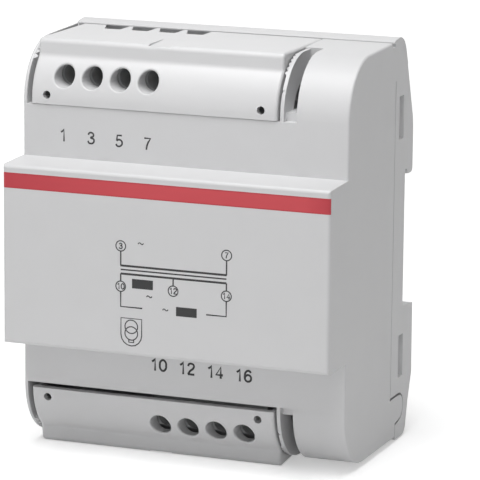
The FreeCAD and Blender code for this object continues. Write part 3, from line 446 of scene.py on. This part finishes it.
# %% [markdown]
# ## Finishes on the CAD pieces
# Every node of the record names a material slot. A table from slot to finish gives each CAD
# piece its material, and the piece keeps its shape.

# %% Give each node its finish
FINISHES = {
    "housing_plastic": housing_plastic,
    "base_plastic": base_plastic,
    "cover_plastic": cover_plastic,
    "latch_plastic": latch_plastic,
    "block_plastic": block_plastic,
    "core_steel": core_steel,
    "rivet_steel": rivet_steel,
    "former_plastic": former_plastic,
    "copper_wire": copper_wire,
    "insulation_tape": insulation_tape,
    "cutout_plastic": cutout_plastic,
    "primary_lead_sleeve": primary_sleeve,
    "secondary_lead_sleeve": secondary_sleeve,
    "screw_steel": screw_steel,
    "cage_steel": cage_steel,
    "bar_brass": bar_brass,
}
slot_of = {part["node"]: part["material_slot"] for part in frame["record"]["subparts"]}
for name, piece in frame["nodes"].items():
    piece.data.materials.clear()
    piece.data.materials.append(FINISHES[slot_of[name]])
print("finished nodes:", len(slot_of))

# %% [markdown]
# ## What is printed
# Terminal numbers stand on the two shoulders and a wiring diagram on the nose. Pad printing
# lays a film of ink about a hundredth of a millimetre thick. The ink is matt, and it covers a
# little more here and less there, which a fine noise in its colour shows.

# %% Printing ink
INK_GREY = "#303031"
INK_DARK = "#212122"
INK_PATCH = 0.5 * MM
INK_SPREAD = 0.15
INK_IOR = 1.5


def ink_material(name, colour):
    """Matt printing ink with small differences in how much was laid down."""
    material, tree, shader = new_material(name)
    place = add_node(tree, "TexCoord").outputs["Object"]
    lay = add_node(tree, "TexNoise", {"Vector": place}, {"Scale": 1 / INK_PATCH, "Detail": 3.0})
    shade = add_node(tree, "MapRange", {"Value": lay.outputs["Fac"]},
                     {"To Min": 1 - INK_SPREAD, "To Max": 1 + INK_SPREAD})
    tint = add_node(tree, "VectorMath", {"Scale": shade.outputs["Result"]},
                    {0: linear(colour)[:3]}, operation="SCALE")
    tree.links.new(tint.outputs["Vector"], shader.inputs["Base Color"])
    shader.inputs["Roughness"].default_value = 0.55
    shader.inputs["IOR"].default_value = INK_IOR
    return material


ink_grey = ink_material("grey pad printing ink", INK_GREY)
ink_dark = ink_material("black pad printing ink", INK_DARK)
print("inks:", ink_grey.name, "and", ink_dark.name)

# %% [markdown]
# A flat ribbon on the plastic would share its place with the surface and flicker. So each stroke
# is drawn as a smooth curve with a round section, turned to a mesh, and pressed flat onto the
# surface until it stands proud by the ink's thickness.

# %% A stroke of ink
INK_RISE = 0.012 * MM


def ink_strokes(name, strokes, width, depth, ink, body="enclosure"):
    """One printed piece from strokes in X and Z; a stroke is (points, smooth, closed)."""
    deselect()
    bpy.ops.curve.primitive_bezier_curve_add()
    drawn = bpy.context.object
    drawn.name = name
    drawn.data.splines.clear()
    drawn.data.bevel_depth = width / 2
    drawn.data.bevel_resolution = 1
    drawn.data.resolution_u = 6
    drawn.data.use_fill_caps = True
    for points, smooth, closed in strokes:
        spline = drawn.data.splines.new("BEZIER")
        spline.bezier_points.add(len(points) - 1)
        spline.use_cyclic_u = closed
        for knot, (x, z) in zip(spline.bezier_points, points):
            knot.co = (x, 0, z)
            knot.handle_left_type = knot.handle_right_type = "AUTO" if smooth else "VECTOR"
    bpy.ops.object.convert(target="MESH")
    bpy.ops.object.mode_set(mode="EDIT")
    bpy.ops.mesh.select_all(action="SELECT")
    bpy.ops.mesh.normals_make_consistent(inside=False)
    bpy.ops.object.mode_set(mode="OBJECT")
    press = Matrix.Translation((0, depth, 0)) @ Matrix.Diagonal((1, INK_RISE / (width / 2), 1, 1))
    drawn.data.transform(press)
    drawn.data.materials.append(ink)
    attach(drawn, body)


print("ink stands proud by mm:", round(INK_RISE / MM, 3))

# %% [markdown]
# The figures are drawn as a sign writer would, in a box one unit high: a few points that a
# smooth curve passes through, or straight strokes. Only the figures 0 to 7 occur. Each stroke is
# a list of points, whether it is smooth, and whether it closes on itself.

# %% The shapes of the figures
FIGURES = {
    "0": [([(0.30, 0.95), (0.10, 0.78), (0.06, 0.50), (0.10, 0.22), (0.30, 0.05), (0.50, 0.22),
            (0.54, 0.50), (0.50, 0.78)], True, True)],
    "1": [([(0.12, 0.76), (0.26, 0.85), (0.36, 1.00), (0.36, 0.0)], False, False)],
    "2": [([(0.08, 0.72), (0.14, 0.90), (0.32, 0.95), (0.50, 0.82), (0.46, 0.58), (0.22, 0.32),
            (0.07, 0.05)], True, False),
          ([(0.05, 0.05), (0.55, 0.05)], False, False)],
    "3": [([(0.08, 0.75), (0.16, 0.91), (0.31, 0.95), (0.47, 0.84), (0.46, 0.64), (0.28, 0.53),
            (0.48, 0.44), (0.53, 0.26), (0.44, 0.10), (0.28, 0.05), (0.12, 0.10), (0.06, 0.26)],
           True, False)],
    "4": [([(0.40, 0.0), (0.40, 0.96), (0.05, 0.30), (0.56, 0.30)], False, False)],
    "5": [([(0.51, 0.95), (0.16, 0.95), (0.10, 0.50)], False, False),
          ([(0.10, 0.50), (0.20, 0.58), (0.34, 0.60), (0.50, 0.48), (0.53, 0.30), (0.44, 0.12),
            (0.28, 0.05), (0.12, 0.10), (0.06, 0.24)], True, False)],
    "6": [([(0.51, 0.78), (0.44, 0.91), (0.31, 0.95), (0.14, 0.82), (0.07, 0.52), (0.10, 0.22),
            (0.22, 0.07), (0.33, 0.05), (0.49, 0.14), (0.54, 0.32), (0.48, 0.52), (0.32, 0.60),
            (0.15, 0.51), (0.08, 0.36)], True, False)],
    "7": [([(0.06, 0.94), (0.54, 0.94), (0.36, 0.62), (0.26, 0.32), (0.22, 0.0)], False, False)],
}
FIGURE_ADVANCE = 0.66
FIGURE_GAP = 0.06


def number_strokes(text, centre_x, centre_z, height, stretch=1.0):
    """Strokes of a number centred on a point, ready for ink_strokes; stretch widens the figures."""
    width = height * stretch
    start = centre_x - (len(text) * FIGURE_ADVANCE - FIGURE_GAP) * width / 2
    strokes = []
    for place, figure in enumerate(text):
        left = start + place * FIGURE_ADVANCE * width
        for points, smooth, closed in FIGURES[figure]:
            moved = [(left + x * width, centre_z + (z - 0.5) * height) for x, z in points]
            strokes.append((moved, smooth, closed))
    return strokes


print("figures drawn:", "".join(FIGURES))

# %% [markdown]
# The terminal numbers: 1, 3, 5 and 7 over the diagram for the mains side, and 10 to 16 under
# it for the bell side. The lower row is bolder and wider in the picture. The print sits a hair
# aslant on the housing, as pad prints do, so each number stands a little lower than the last.

# %% Terminal numbers on the shoulders
SHOULDER_FRONT = -44.0 * MM
NUMBER_HEIGHT = 3.1 * MM
NUMBER_PITCH = 7.68 * MM
NUMBER_DROP = 0.16 * MM
UPPER_ROW = {"x": -32.7 * MM, "z": 28.65 * MM, "weight": 0.53 * MM, "stretch": 1.12}
LOWER_ROW = {"x": -6.34 * MM, "z": -28.45 * MM, "weight": 0.64 * MM, "stretch": 1.16}
for row, names, ink in ((UPPER_ROW, ("1", "3", "5", "7"), ink_grey),
                        (LOWER_ROW, ("10", "12", "14", "16"), ink_dark)):
    for index, text in enumerate(names):
        x, z = row["x"] + index * NUMBER_PITCH, row["z"] - index * NUMBER_DROP
        strokes = number_strokes(text, x, z, NUMBER_HEIGHT, row["stretch"])
        ink_strokes("printed_number_" + text, strokes, row["weight"], SHOULDER_FRONT, ink)
print("numbers are mm high:", round(NUMBER_HEIGHT / MM, 1))

# %% [markdown]
# The diagram shows how the windings are connected: a thick line for each winding, a thinner one
# between them for the core, and a lead from each end of a winding to its terminal. The upper
# winding is the mains side's. The lower one has a third lead from its middle, and its two outer
# leads run on below their rings and turn inwards, as a bracket round the whole winding.

# %% The windings, the core and the leads
LEFT, MIDDLE, RIGHT = -11.45 * MM, 2.65 * MM, 16.80 * MM
PRIMARY_Z, CORE_Z, SECONDARY_Z = -0.60 * MM, -1.60 * MM, -2.65 * MM
UPPER_RING_Z, LOWER_RING_Z = 4.35 * MM, -5.90 * MM
RING_RADIUS = 1.30 * MM
RETURN_Z = -11.05 * MM
LEFT_RETURN, RIGHT_RETURN = 5.85 * MM, 5.3 * MM
OVERHANG = 0.1 * MM
THIN, MEDIUM, THICK = 0.38 * MM, 0.42 * MM, 0.62 * MM


def line(*points):
    """Open straight stroke."""
    return (list(points), False, False)


above_rings, below_rings = LOWER_RING_Z + RING_RADIUS, LOWER_RING_Z - RING_RADIUS
ink_strokes("diagram_primary",
            [line((x, UPPER_RING_Z - RING_RADIUS), (x, PRIMARY_Z)) for x in (LEFT, RIGHT)],
            THIN, nose_front, ink_dark)
ink_strokes("diagram_windings",
            [line((LEFT - OVERHANG, PRIMARY_Z), (RIGHT + OVERHANG, PRIMARY_Z)),
             line((LEFT, SECONDARY_Z), (RIGHT, SECONDARY_Z))], THICK, nose_front, ink_dark)
ink_strokes("diagram_core", [line((LEFT, CORE_Z), (RIGHT, CORE_Z))], MEDIUM, nose_front, ink_dark)
ink_strokes("diagram_secondary",
            [line((x, SECONDARY_Z), (x, above_rings)) for x in (LEFT, MIDDLE, RIGHT)]
            + [line((LEFT, below_rings), (LEFT, RETURN_Z), (LEFT + LEFT_RETURN, RETURN_Z)),
               line((RIGHT, below_rings), (RIGHT, RETURN_Z), (RIGHT - RIGHT_RETURN, RETURN_Z))],
            THIN, nose_front, ink_dark)
print("diagram is mm wide:", round((RIGHT - LEFT) / MM, 2))

# %% [markdown]
# Each lead ends at a ringed number, the same number as on its terminal. A small wave beside each
# winding is the sign of alternating current.

# %% Ringed numbers and waves
RING_NUMBER_HEIGHT = 1.50 * MM
RING_NUMBER_STRETCH = 1.1
FINE = 0.33 * MM
WAVE = 0.75 * MM
WAVE_PLACES = (("primary", -6.05, 5.35), ("tap", -3.74, -7.90), ("secondary", 0.60, -10.85))


def ring(x, z, radius, parts=12):
    """Closed smooth stroke round a centre."""
    angles = [2 * math.pi * part / parts for part in range(parts)]
    return ([(x + radius * math.cos(a), z + radius * math.sin(a)) for a in angles], True, True)


for text, x, z in (("3", LEFT, UPPER_RING_Z), ("7", RIGHT, UPPER_RING_Z),
                   ("10", LEFT, LOWER_RING_Z), ("12", MIDDLE, LOWER_RING_Z),
                   ("14", RIGHT, LOWER_RING_Z)):
    figures = number_strokes(text, x, z, RING_NUMBER_HEIGHT, RING_NUMBER_STRETCH)
    ink_strokes("diagram_ring_" + text, [ring(x, z, RING_RADIUS)] + figures, FINE, nose_front,
                ink_dark)
for name, x, z in WAVE_PLACES:
    x, z = x * MM, z * MM
    wave = [(x - WAVE, z - WAVE / 6), (x - WAVE / 2, z + WAVE / 4), (x + WAVE / 2, z - WAVE / 4),
            (x + WAVE, z + WAVE / 6)]
    ink_strokes("diagram_wave_" + name, [(wave, True, False)], FINE, nose_front, ink_dark)
print("rings are mm across:", round(2 * RING_RADIUS / MM, 2))

# %% [markdown]
# Two dark fields belong to the diagram, each a solid rectangle of ink. A box is added at the
# field's size and place, half sunk in the nose's face, so that it stands proud as far as the
# strokes do. Its edges are bevelled, because a pad leaves no sharp edge.

# %% Dark fields
FIELD_BEVEL = INK_RISE * 0.9
LEFT_FIELD = ((-8.40 * MM, -6.15 * MM), (-2.75 * MM, -3.75 * MM))
RIGHT_FIELD = ((3.45 * MM, -12.15 * MM), (9.00 * MM, -9.80 * MM))


def ink_field(name, low, high):
    """Solid rectangle of ink between two corners in X and Z."""
    deselect()
    bpy.ops.mesh.primitive_cube_add(size=1, location=((low[0] + high[0]) / 2, nose_front,
                                                      (low[1] + high[1]) / 2),
                                    scale=(high[0] - low[0], 2 * INK_RISE, high[1] - low[1]))
    field = bpy.context.object
    field.name = name
    bpy.ops.object.transform_apply(location=True, rotation=True, scale=True)
    bpy.ops.object.mode_set(mode="EDIT")
    bpy.ops.mesh.select_all(action="SELECT")
    bpy.ops.mesh.bevel(offset=FIELD_BEVEL, segments=2)
    bpy.ops.object.mode_set(mode="OBJECT")
    field.data.materials.append(ink_dark)
    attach(field, "enclosure")


ink_field("diagram_field_left", *LEFT_FIELD)
ink_field("diagram_field_right", *RIGHT_FIELD)
print("left field is mm wide:", round((LEFT_FIELD[1][0] - LEFT_FIELD[0][0]) / MM, 2))

# %% [markdown]
# Below the diagram stands a sign for a transformer: a shield with a straight top and a round
# bowl, two rings in it that overlap, as the two windings share one core, and a small cup under
# them. All of it is one printed piece of fine strokes.

# %% The transformer sign
SIGN_X = -8.55 * MM
SIGN_TOP = -13.90 * MM
SIGN_HALF = 2.80 * MM
SIGN_SIDE = 4.2 * MM
SIGN_RING = 1.70 * MM
RING_DROPS = (2.1 * MM, 3.8 * MM)
CUP_HALF = 0.65 * MM
CUP_TOP, CUP_FOOT = SIGN_TOP - 5.5 * MM, SIGN_TOP - 6.1 * MM
BOWL_STEPS = 8

bowl_angles = [math.pi * step / BOWL_STEPS for step in range(BOWL_STEPS + 1)]
bowl = [(SIGN_X - SIGN_HALF * math.cos(a), SIGN_TOP - SIGN_SIDE - SIGN_HALF * math.sin(a))
        for a in bowl_angles]
shield = [(SIGN_X + SIGN_HALF, SIGN_TOP), (SIGN_X - SIGN_HALF, SIGN_TOP)] + bowl
rings = [ring(SIGN_X, SIGN_TOP - drop, SIGN_RING) for drop in RING_DROPS]
cup = line((SIGN_X - CUP_HALF, CUP_TOP), (SIGN_X - CUP_HALF, CUP_FOOT),
           (SIGN_X + CUP_HALF, CUP_FOOT), (SIGN_X + CUP_HALF, CUP_TOP))
sign_strokes = [(shield, False, True)] + rings + [cup]
ink_strokes("diagram_transformer_sign", sign_strokes, FINE, nose_front, ink_dark)
printed = [piece.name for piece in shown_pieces() if piece.name.startswith(("printed", "diagram"))]
print("printed pieces:", len(printed))
